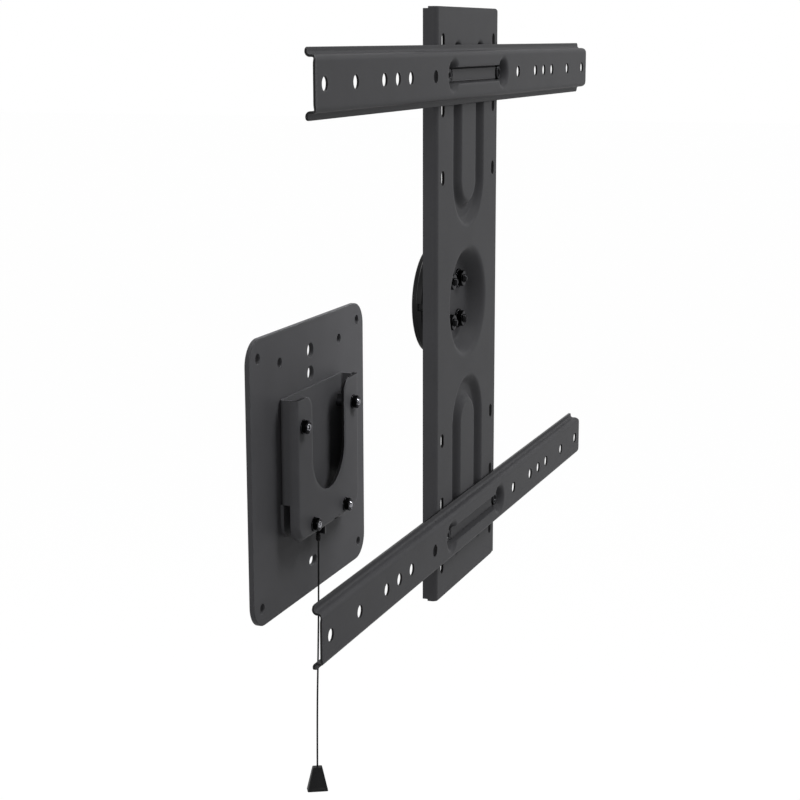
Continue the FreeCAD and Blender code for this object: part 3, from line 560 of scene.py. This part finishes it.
class MOUNT_OT_arms(bpy.types.Operator):
    """Build the two television arms with their wells, channel and screw holes"""

    bl_idname = "mount.arms"
    bl_label = "Arms"

    def execute(self, context):
        web, lip_top, depth = 17.5, 22.0, 7.2
        outer, inner = 3.5, 2.0
        # The section's front face from the web's middle to the lip's edge: flat, arc, wall, arc and lip.
        turn = np.linspace(0.0, math.pi / 2, 7)
        section = np.concatenate([
            np.stack([np.zeros(17), np.linspace(0.0, web - outer, 17)], axis=1)[:-1],
            np.stack([outer * (1 - np.cos(turn)), web - outer + outer * np.sin(turn)], axis=1),
            np.array([(depth - inner, web)]),
            np.stack([depth - inner + inner * np.sin(turn), web + inner * (1 - np.cos(turn))], axis=1)[1:],
            np.stack([np.full(4, depth), np.linspace(web + inner, lip_top, 5)[1:]], axis=1)])
        section = np.concatenate([section[:0:-1] * (1, -1), section])
        step = np.hypot(*np.diff(section, axis=0).T)
        along = np.concatenate([[0.0], np.cumsum(step)])
        along = np.abs(along - along[-1] / 2)
        total = along[0]
        # The ends: a round corner on the web, a run down to the shorter walls and lips, a round lip corner.
        reach, lip_corner = 314.5, 3.0
        drop_along = [12.0, 13.5, 15.0, 16.5, 18.0, 21.0, total - lip_corner]
        drop = np.interp(along, drop_along, [0.0, 0.25, 0.9, 2.0, 3.0, 3.8, 4.0])
        past = np.maximum(along - total + lip_corner, 0.0)
        drop = drop + lip_corner - np.sqrt(np.maximum(lip_corner ** 2 - past ** 2, 0.0))
        # The grid is fine round the wells and the screw holes.
        around, fine, coarse = 7.0, 0.85, 3.0
        spans = [(0.0, 2.5), (42.0, 0.9), (78.0, coarse)]
        for place in SCREW_HOLES:
            spans += [(place - around, fine), (place + around, coarse)]
        spans += [(reach, 0)]
        half = lines(spans)
        across = np.concatenate([-half[:0:-1], half])
        x, row = np.meshgrid(across, np.arange(len(section)), indexing="ij")
        y, z = section[row, 0], section[row, 1]
        last = SCREW_HOLES[-1] + around
        ends = np.maximum(np.abs(x) - last, 0.0) / (reach - last)
        x = x - np.sign(x) * ends * drop[row]
        screw_hole, bolt_hole, snap = 4.6, 3.1, 0.72
        holes = [(side * place, 0.0, screw_hole, 0.0) for side in (-1, 1) for place in SCREW_HOLES]
        holes += [(side * SLOT_REACH, 0.0, bolt_hole, 0.0) for side in (-1, 1)]
        flat = np.abs(z) < web - outer
        new_x, new_z, outside = punch(x, z, holes, snap)
        x, z = np.where(flat, new_x, x), np.where(flat, new_z, z)
        channel_floor, crease_depth, crease_width = 5.2, 1.8, 0.5
        well = rolled_profile(outer=11.0, floor=7.0, depth=depth, rim=5.0, foot=1.5)
        channel = rolled_profile(outer=6.2, floor=channel_floor, depth=4.4, rim=0.6, foot=0.5)
        across_well, up = np.abs(x) - SLOT_REACH, np.abs(z)
        # A narrow crease, a bell curve of the height, runs along the foot of the channel's walls.
        trough = pressed(up, channel) + crease_depth * np.exp(-((up - channel_floor) / crease_width) ** 2)
        trough = np.where(np.abs(x) < SLOT_REACH, trough, 0.0)
        y = y + np.maximum(pressed(np.hypot(across_well, up), well), trough)
        for number, level in enumerate((1, -1)):
            name = ("upper_arm", "lower_arm")[number]
            points = np.stack([x, y, z], axis=-1) + np.array([0.0, TV_Y, TV_Z + level * ARM_PITCH / 2])
            arm = grid_piece("pressed_" + name, points, "tv_half",
                             NODES[name].data.materials[0], kept_faces(outside))
            thicken(arm, ARM_SHEET)
            soften(arm, 0.3)
            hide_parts(name)
        return {"FINISHED"}


class MOUNT_OT_socket_front(bpy.types.Operator):
    """Build the dished socket front with its U slot"""

    bl_idname = "mount.socket_front"
    bl_label = "Socket front"

    def execute(self, context):
        # The flat front's Y, the radius of its round edge, and the Y where the rim's wall ends.
        front, edge, wall_back = -20.0, 5.0, -13.5
        # The flat's half width, top, bottom and lower corner radius, inside the round edge.
        half, top, bottom, corner = 65.5 - edge, 60.5, -57.0 + edge, 16.0 - edge
        slot, slot_centre, flare, corner_row = 33.0, 8.5, 12.0, 6.0

        def arc(cx, cz, radius, start, end, count):
            """Points of an arc about a centre, angles in degrees, without the last one."""
            angle = np.radians(np.linspace(start, end, count, endpoint=False))
            return np.stack([cx + radius * np.cos(angle), cz + radius * np.sin(angle)], axis=1)

        def line(a, b, count):
            """Points of a straight run, without the last one."""
            return np.linspace(a, b, count, endpoint=False)

        # The slot's edge and the round edge's start, point for point from the top to the middle of the bottom, and
        # the way outwards there. The right half mirrors the left one. Each stretch has its count of points: the
        # flare, the straight edge, and the parts of the arc that face the side, the corner and the bottom.
        flared, straight, sideways, cornered, lowest = 12, 20, 16, 14, 34
        corner_start, corner_end = 222, 243
        mouth = top - flare
        inner = np.concatenate([arc(-slot - flare, mouth, flare, 90, 0, flared),
                                line((-slot, mouth), (-slot, slot_centre), straight),
                                arc(0, slot_centre, slot, 180, corner_start, sideways),
                                arc(0, slot_centre, slot, corner_start, corner_end, cornered),
                                arc(0, slot_centre, slot, corner_end, 270, lowest), [(0.0, slot_centre - slot)]])
        outer = np.concatenate([line((-half, top), (-half, mouth), flared),
                                line((-half, mouth), (-half, corner_row), straight),
                                line((-half, corner_row), (-half, bottom + corner), sideways),
                                arc(-half + corner, bottom + corner, corner, 180, 270, cornered),
                                line((-half + corner, bottom), (0.0, bottom), lowest), [(0.0, bottom)]])
        away = np.concatenate([np.tile([-1.0, 0.0], (flared + straight + sideways, 1)),
                               arc(0, 0, 1.0, 180, 270, cornered), np.tile([0.0, -1.0], (lowest + 1, 1))])
        inner, outer, away = (np.concatenate([side, side[-2::-1] * (-1, 1)]) for side in (inner, outer, away))
        share = np.linspace(0.0, 1.0, 15)[None, :, None]
        flat = inner[:, None] * (1 - share) + outer[:, None] * share
        flat = np.dstack([flat[..., 0], np.full(flat.shape[:2], front), flat[..., 1]])
        # The slot's edge is drawn in a little, over the first twelfth of the way outwards.
        drawn_in = 0.5
        flat[..., 1] += drawn_in * np.maximum(0.0, 1.0 - share[..., 0] * 12) ** 2
        turn = np.linspace(0.0, math.pi / 2, 9)[1:]
        reach = np.concatenate([edge * np.sin(turn), [edge]])
        depth = np.concatenate([front + edge * (1 - np.cos(turn)), [wall_back]])
        rim = outer[:, None] + away[:, None] * reach[None, :, None]
        rim = np.dstack([rim[..., 0], np.tile(depth, (len(outer), 1)), rim[..., 1]])
        points = np.concatenate([flat, rim], axis=1)[:, ::-1]
        # The latch slit is cut out of the bottom rim, and shows as a short notch in its bend.
        slit_reach, slit_front, notch_left, notch_right, notch_front = 17.0, -17.0, 9.0, 19.0, -19.6
        middle = (points[:-1, :-1] + points[1:, 1:]) / 2
        low = middle[..., 2] < bottom
        across, deep = middle[..., 0], middle[..., 1]
        slit = low & (np.abs(across) < slit_reach) & (deep > slit_front)
        notch = low & (across > notch_left) & (across < notch_right) & (deep > notch_front)
        piece = grid_piece("pressed_socket_front", points, "wall_half",
                           NODES["socket_front"].data.materials[0], ~(slit | notch))
        thicken(piece, SOCKET_SHEET)
        soften(piece, 0.35)
        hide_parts("socket_front")
        return {"FINISHED"}


class MOUNT_OT_fasteners(bpy.types.Operator):
    """Build the studs, bolts, washers and nuts with their threads"""

    bl_idname = "mount.fasteners"
    bl_label = "Fasteners"

    def execute(self, context):
        slot = "black_zinc_fasteners"
        metal = NODES["socket_nut_1"].data.materials[0]
        # The threads' lighter zinc is a painted highlight.
        highlight_zinc = bpy.data.materials["rubbed_zinc_on_threads"]
        for number in range(1, 5):
            self.stud("socket_stud_%d" % number, highlight_zinc, metal, slot)
            self.arm_bolt("arm_bolt_%d" % number, metal, slot)
            self.hub_bolt("hub_bolt_%d" % number, metal, slot)
            for kind, body in (("socket", "wall_half"), ("arm", "tv_half"), ("hub", "tv_half")):
                self.washer("%s_washer_%d" % (kind, number), body, metal, slot)
                self.nut("%s_nut_%d" % (kind, number), body, metal, slot)
        return {"FINISHED"}

    def washer(self, name, body, metal, slot):
        """A flat ring with rolled edges."""
        _, _, front, back = spot(name)
        low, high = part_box(name)
        bore, outer = WASHER_BORE, (high.z - low.z) * 500
        profile = [(bore, front + 0.2), (bore + 0.2, front), (outer - 0.5, front), (outer - 0.15, front + 0.15),
                   (outer, front + 0.45), (outer, back - 0.2), (outer - 0.2, back), (bore, back)]
        lathe("turned_" + name, name, profile, body, metal, segments=64, ring=True)

    def nut(self, name, body, metal, slot):
        """A hexagon nut: a square profile pressed onto the hexagon, both ends cut by a cone."""
        _, _, front, back = spot(name)
        low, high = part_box(name)
        bore, lip, chamfer = WASHER_BORE, WASHER_BORE + 0.7, 0.7
        # The hub's nuts are drawn a size smaller than the plain ones of the CAD.
        width = (high.z - low.z) * (880 if "hub" in name else 1000)
        ends = np.linspace(0.0, 1.0, 5)
        profile = ([(bore + 0.35, front + 0.02), (lip, front)] + [(width, front + 0.05 + 0.9 * t) for t in ends]
                   + [(width, back - 0.95 + 0.9 * t) for t in ends]
                   + [(bore + 0.5, back), (bore, back - 0.4), (bore, front + 0.4)])
        piece = lathe("hexagon_" + name, name, profile, body, metal, segments=72,
                      wobble=nut_wobble(width, lip, front, back, chamfer), ring=True)
        soften(piece, 0.08, segments=1, angle=25.0)

    def stud(self, name, highlight_zinc, metal, slot):
        """A flush stud: a round thread end, the thread and the flat head in the plate's back."""
        _, _, end, back = spot(name)
        thread_end, head, radius = -17.0, -1.5, THREAD_RADIUS
        profile = ([(0.0, end), (0.9, end + 0.03), (1.6, end + 0.12), (2.2, end + 0.32), (2.6, end + 0.62)]
                   + screw(end + 1.0, thread_end)
                   + [(radius, -2.0), (radius, -1.6), (3.3, head), (5.3, head), (5.5, -1.3),
                      (5.5, back), (0.0, back)])
        piece = lathe("threaded_" + name, name, profile, "wall_half", highlight_zinc, segments=48,
                      wobble=threaded(end + 0.9, thread_end))
        # Only the thread gets the lighter zinc of the painted highlight: the head keeps its dark zinc.
        piece.data.materials.append(metal)
        centres = np.empty(3 * len(piece.data.polygons))
        piece.data.polygons.foreach_get("center", centres)
        on_head = centres[1::3] > (head - 0.2) * 0.001
        piece.data.polygons.foreach_set("material_index", on_head.astype(np.int32))

    def hub_bolt(self, name, metal, slot):
        """A flat-head bolt: its thread end shows in the dish, its cone and hexagon socket at the disc's back."""
        _, _, end, back = spot(name)
        thread_end, socket_width = end + 12.0, 5.0
        profile = ([(0.0, end), (1.2, end + 0.04), (2.0, end + 0.2), (2.5, end + 0.5)]
                   + screw(end + 1.0, thread_end)
                   + [(4.0, back - 4.0), (7.1, back - 0.3), (7.25, back), (2.9, back), (2.6, back - 0.2),
                      (2.5, back - 2.0), (1.2, back - 2.3), (0.0, back - 2.5)])

        def wobble(radius, angle, along, thread=threaded(end + 0.9, thread_end)):
            recess = (along > back - 2.4) & (radius < 2.95) & (radius > 0.5)
            return np.where(recess, np.minimum(radius, hexagon(angle, socket_width)), thread(radius, angle, along))

        lathe("threaded_" + name, name, profile, "tv_half", metal, segments=72, wobble=wobble)

    def arm_bolt(self, name, metal, slot):
        """A button-head bolt: a low dome with a hexagon socket, then a threaded shank."""
        _, _, top, end = spot(name)
        # The dome is a quarter of an ellipse from the socket's lip to the head's rim.
        lip, rim, height, seat = 4.4, 5.6, 1.4, top + 3.4
        quarter = np.linspace(0.0, math.pi / 2, 14)
        crown = [(lip + (rim - lip) * math.sin(t), top + height * (1 - math.cos(t))) for t in quarter]
        thread_start, thread_end, socket_radius, socket_width = seat + 2.0, end - 0.8, 2.15, 4.0
        profile = ([(0.0, top + 2.6), (1.2, top + 2.4), (2.0, top + 2.1), (socket_radius, top + 0.25),
                    (2.4, top + 0.05)]
                   + crown + [(rim, seat - 0.1), (rim - 0.1, seat), (THREAD_RADIUS, seat)]
                   + screw(thread_start, thread_end) + [(2.6, end - 0.4), (2.2, end), (0.0, end)])

        def wobble(radius, angle, along, thread=threaded(thread_start, thread_end)):
            recess = (along < top + 2.2) & (radius < 2.3)
            return np.where(recess, radius / socket_radius * hexagon(angle, socket_width),
                            thread(radius, angle, along))

        lathe("button_" + name, name, profile, "tv_half", metal, segments=72, wobble=wobble)


class MOUNT_OT_spring(bpy.types.Operator):
    """Build the latch's compression spring"""

    bl_idname = "mount.spring"
    bl_label = "Spring"

    def execute(self, context):
        low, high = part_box("latch_spring")
        wire, turns, closed_rise = 0.3, 6.0, 0.65
        coil = (high.x - low.x) * 500 - wire
        x, y = (low.x + high.x) * 500, (low.y + high.y) * 500
        bottom, top = low.z * 1000 + wire, high.z * 1000 - wire
        # The first and the last turn rise by hardly more than the wire, and the free turns share the rest.
        turn = np.linspace(0.0, turns, 181)
        height = np.interp(turn, [0.0, 1.0, turns - 1.0, turns],
                           [bottom, bottom + closed_rise, top - closed_rise, top])
        turn = np.concatenate([turn[:1], turn, turn[-1:]])[:, None]
        height = np.concatenate([height[:1], height, height[-1:]])[:, None]
        thick = np.full(turn.shape, wire)
        thick[[0, -1]] = 0.0
        # A round wire along a helix: the radius grows by the wire's outward part, the height by its upward part.
        angle = np.linspace(0.0, 2 * math.pi, 12, endpoint=False)
        radius = coil + thick * np.cos(angle)
        points = np.stack([x + radius * np.cos(2 * math.pi * turn), y + radius * np.sin(2 * math.pi * turn),
                           height + thick * np.sin(angle)], axis=-1)
        spring = grid_piece("wound_latch_spring", points, "wall_half",
                            NODES["latch_spring"].data.materials[0], closed=(False, True))
        close_poles(spring)
        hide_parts("latch_spring")
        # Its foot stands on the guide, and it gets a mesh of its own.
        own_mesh(spring)
        return {"FINISHED"}


class MOUNT_OT_knot(bpy.types.Operator):
    """Build the wrapped knot under the latch's tab"""

    bl_idname = "mount.knot"
    bl_label = "Knot"

    def execute(self, context):
        x, y, cord_top = (value * 1000 for value in CORD_ROUTE[0])
        _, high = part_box("cord_knot")
        below, turns, core, strand, slant = 2.6, 4.0, 1.35, 0.8, 0.25
        z = cord_top - below
        height = high.z * 1000 - z
        along = np.linspace(0.0, 1.0, 61)
        angle = np.linspace(0.0, 2 * math.pi, 48, endpoint=False)
        # Wraps of the cord: ridges of half round section that climb one pitch in each turn.
        phase = (along[:, None] * turns + angle[None, :] / (2 * math.pi)) % 1.0
        ridge = np.sqrt(np.maximum(1.0 - (2.0 * phase - 1.0) ** 2, 0.0))
        ends = np.sqrt(np.maximum(1.0 - (2.0 * along[:, None] - 1.0) ** 4, 0.0))
        radius = ends * (core + strand * ridge * (0.85 + 0.15 * np.sin(angle)[None, :]))
        up = z + height * along[:, None] + slant * np.sin(angle)[None, :] * ends
        points = np.stack([x + radius * np.cos(angle), y + radius * np.sin(angle), up], axis=-1)
        knot = grid_piece("wrapped_knot", points[::-1], "latch",
                          NODES["cord_knot"].data.materials[0], closed=(False, True))
        close_poles(knot)
        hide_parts("cord_knot")
        return {"FINISHED"}


class MOUNT_OT_pull(bpy.types.Operator):
    """Build the tapered pull with its sunk panels"""

    bl_idname = "mount.pull"
    bl_label = "Pull"

    def execute(self, context):
        end, before = (np.array(place) * 1000 for place in (CORD_ROUTE[-1], CORD_ROUTE[-2]))
        down = (end - before) / np.linalg.norm(end - before)
        facing = math.radians(119.8)
        wide = np.array([math.cos(facing), math.sin(facing), 0.0])
        wide -= down * wide.dot(down)
        wide /= np.linalg.norm(wide)
        thick = np.cross(down, wide)
        # Width and thickness at the top and at the bottom.
        length, top, bottom, edge, rows = 21.0, (8.3, 6.0), (17.7, 9.0), 0.3, 44
        share = np.concatenate([[0, 0, 0], np.linspace(0.0, 1.0, rows), [1, 1, 1]])[:, None]
        shrink = np.concatenate([[0, 0.6, 0.93], np.ones(rows), [0.965, 0.6, 0]])[:, None]
        drop = np.linspace(edge, length - edge, rows)
        drop = np.concatenate([[0, 0, 0], drop, [length, length, length]])[:, None]
        angle = np.linspace(0.0, 2 * math.pi, 96, endpoint=False)[None, :]
        # The section is a rectangle with round corners: both coordinates are a small power of cosine and sine.
        power = 0.14
        u = np.sign(np.cos(angle)) * np.abs(np.cos(angle)) ** power
        v = np.sign(np.sin(angle)) * np.abs(np.sin(angle)) ** power

        def ramp(low, high, value):
            """A smooth step from 0 at low to 1 at high."""
            step = np.clip((value - low) / (high - low), 0.0, 1.0)
            return step * step * (3 - 2 * step)

        # Panels are sunk into the two wide faces.
        sunk = 0.7
        panel = ramp(0.80, 0.66, np.abs(u)) * ramp(0.1, 0.18, share) * ramp(0.93, 0.86, share)
        half_wide = (top[0] + (bottom[0] - top[0]) * share) / 2
        half_thick = (top[1] + (bottom[1] - top[1]) * share) / 2
        a = u * half_wide * shrink
        b = v * (half_thick - sunk * panel * (np.abs(v) > 0.6)) * shrink
        points = end + a[..., None] * wide + b[..., None] * thick + drop[..., None] * down
        pull = grid_piece("moulded_pull", points, "latch",
                          NODES["cord_pull"].data.materials[0], closed=(False, True))
        close_poles(pull)
        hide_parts("cord_pull")
        return {"FINISHED"}


class MOUNT_OT_stage(bpy.types.Operator):
    """Set the pale floor, the white surroundings and the soft studio lamps"""

    bl_idname = "mount.stage"
    bl_label = "Stage"

    def execute(self, context):
        sizes = context.scene.mount_sizes
        reach = 30.0
        corners = [(-reach, -reach), (reach, -reach), (reach, reach), (-reach, reach)]
        mesh = bpy.data.meshes.new("floor")
        mesh.from_pydata([(x, y, -sizes.floor_drop) for x, y in corners], [], [(0, 1, 2, 3)])
        floor = bpy.data.objects.new("floor", mesh)
        context.scene.collection.objects.link(floor)
        paper, tree, shader = principled("pale_floor", linear("#B4B4B4"), 0.9)
        # The floor shows nearly white, and a small share of its own shading keeps the object's shadow.
        share = node(tree, "ShaderNodeMath", [(seen_directly(tree), 0)], {1: 0.92}, operation="MULTIPLY")
        white = node(tree, "ShaderNodeEmission", values={"Color": (1.0, 1.0, 1.0, 1.0), "Strength": 1.06})
        mix = node(tree, "ShaderNodeMixShader",
                   [(share.outputs[0], 0), (shader.outputs[0], 1), (white.outputs[0], 2)])
        tree.links.new(mix.outputs[0], tree.nodes["Material Output"].inputs["Surface"])
        dress(floor, paper)

        world = bpy.data.worlds.new("studio")
        context.scene.world = world
        world.use_nodes = True
        tree = world.node_tree
        tree.nodes.clear()
        dim = node(tree, "ShaderNodeBackground", values={"Color": (1.0, 1.0, 1.0, 1.0), "Strength": 0.35})
        bright = node(tree, "ShaderNodeBackground", values={"Color": (1.0, 1.0, 1.0, 1.0), "Strength": 1.0})
        mix = node(tree, "ShaderNodeMixShader",
                   [(seen_directly(tree), 0), (dim.outputs[0], 1), (bright.outputs[0], 2)])
        node(tree, "ShaderNodeOutputWorld", [(mix.outputs[0], "Surface")])

        self.lamp("key", (0.6, -1.4, 1.9), (0.0, -0.1, 0.15), size=0.8, power=25.5)
        self.lamp("side", (-2.6, -0.15, 0.9), (0.0, -0.1, 0.1), size=1.0, power=32.0)
        self.lamp("back", (0.9, 2.2, 1.7), (0.0, 0.0, 0.1), size=1.2, power=45.0)
        # Small strong lamps give the plated nuts their glints and hardly light the rest.
        self.lamp("glint_right", (2.0, -1.7, 0.9), (0.0, -0.1, 0.1), size=0.12, power=6.0)
        self.lamp("glint_front", (0.2, -2.6, 1.4), (0.0, -0.1, 0.1), size=0.12, power=6.0)
        # The wall half is lit as if the other half were not hanging in front of it.
        wall_half = bpy.data.collections.new("wall_half_pieces")
        names = frame["record"]["behaviour"]["bodies"]["wall_half"]
        for piece in bpy.data.objects:
            if piece.type == "MESH" and ("_socket_" in piece.name or piece.name in names):
                wall_half.objects.link(piece)
        wall_top = self.lamp("wall_top", (0.15, -0.4, 0.65), (0.0, 0.0, 0.0), size=0.3, power=7.4)
        wall_top.light_linking.receiver_collection = wall_half
        wall_top.light_linking.blocker_collection = wall_half
        context.scene.view_settings.view_transform = "Standard"
        return {"FINISHED"}

    def lamp(self, name, place, aim, size, power):
        """A square soft lamp at place that faces aim."""
        light = bpy.data.lights.new(name, "AREA")
        light.size = size
        light.energy = power
        lamp = bpy.data.objects.new(name, light)
        bpy.context.scene.collection.objects.link(lamp)
        towards = Vector(np.array(aim) - np.array(place))
        lamp.rotation_euler = towards.to_track_quat("-Z", "Y").to_euler()
        lamp.location = place
        lamp.visible_camera = False
        return lamp


class MOUNT_PT_panel(bpy.types.Panel):
    """Lists the steps that build the mount."""

    bl_label = "Television wall mount"
    bl_idname = "MOUNT_PT_panel"
    bl_space_type = "VIEW_3D"
    bl_region_type = "UI"
    bl_category = "TV mount"

    def draw(self, context):
        for group in (context.scene.mount_sizes, context.scene.mount_finishes):
            for name in group.bl_rna.properties.keys():
                if name not in ("rna_type", "name"):
                    self.layout.prop(group, name)
        for operator in OPERATORS:
            self.layout.operator(operator.bl_idname)


OPERATORS = (MOUNT_OT_camera, MOUNT_OT_finishes, MOUNT_OT_spring, MOUNT_OT_knot, MOUNT_OT_pull, MOUNT_OT_cord,
             MOUNT_OT_column, MOUNT_OT_arms, MOUNT_OT_socket_front, MOUNT_OT_fasteners, MOUNT_OT_stage)
CLASSES = (MOUNT_PG_sizes, MOUNT_PG_finishes, *OPERATORS, MOUNT_PT_panel)


def register():
    """Register every class and hang the two property groups on the scene."""
    for cls in CLASSES:
        bpy.utils.register_class(cls)
    bpy.types.Scene.mount_sizes = PointerProperty(type=MOUNT_PG_sizes)
    bpy.types.Scene.mount_finishes = PointerProperty(type=MOUNT_PG_finishes)


def unregister():
    """Undo register."""
    del bpy.types.Scene.mount_finishes
    del bpy.types.Scene.mount_sizes
    for cls in reversed(CLASSES):
        bpy.utils.unregister_class(cls)


def main():
    register()
    bpy.ops.mount.camera()
    bpy.ops.mount.finishes()
    bpy.ops.mount.spring()
    bpy.ops.mount.knot()
    bpy.ops.mount.pull()
    bpy.ops.mount.cord()
    bpy.ops.mount.column()
    bpy.ops.mount.arms()
    bpy.ops.mount.socket_front()
    bpy.ops.mount.fasteners()
    bpy.ops.mount.stage()


if __name__ == "__main__":
    main()
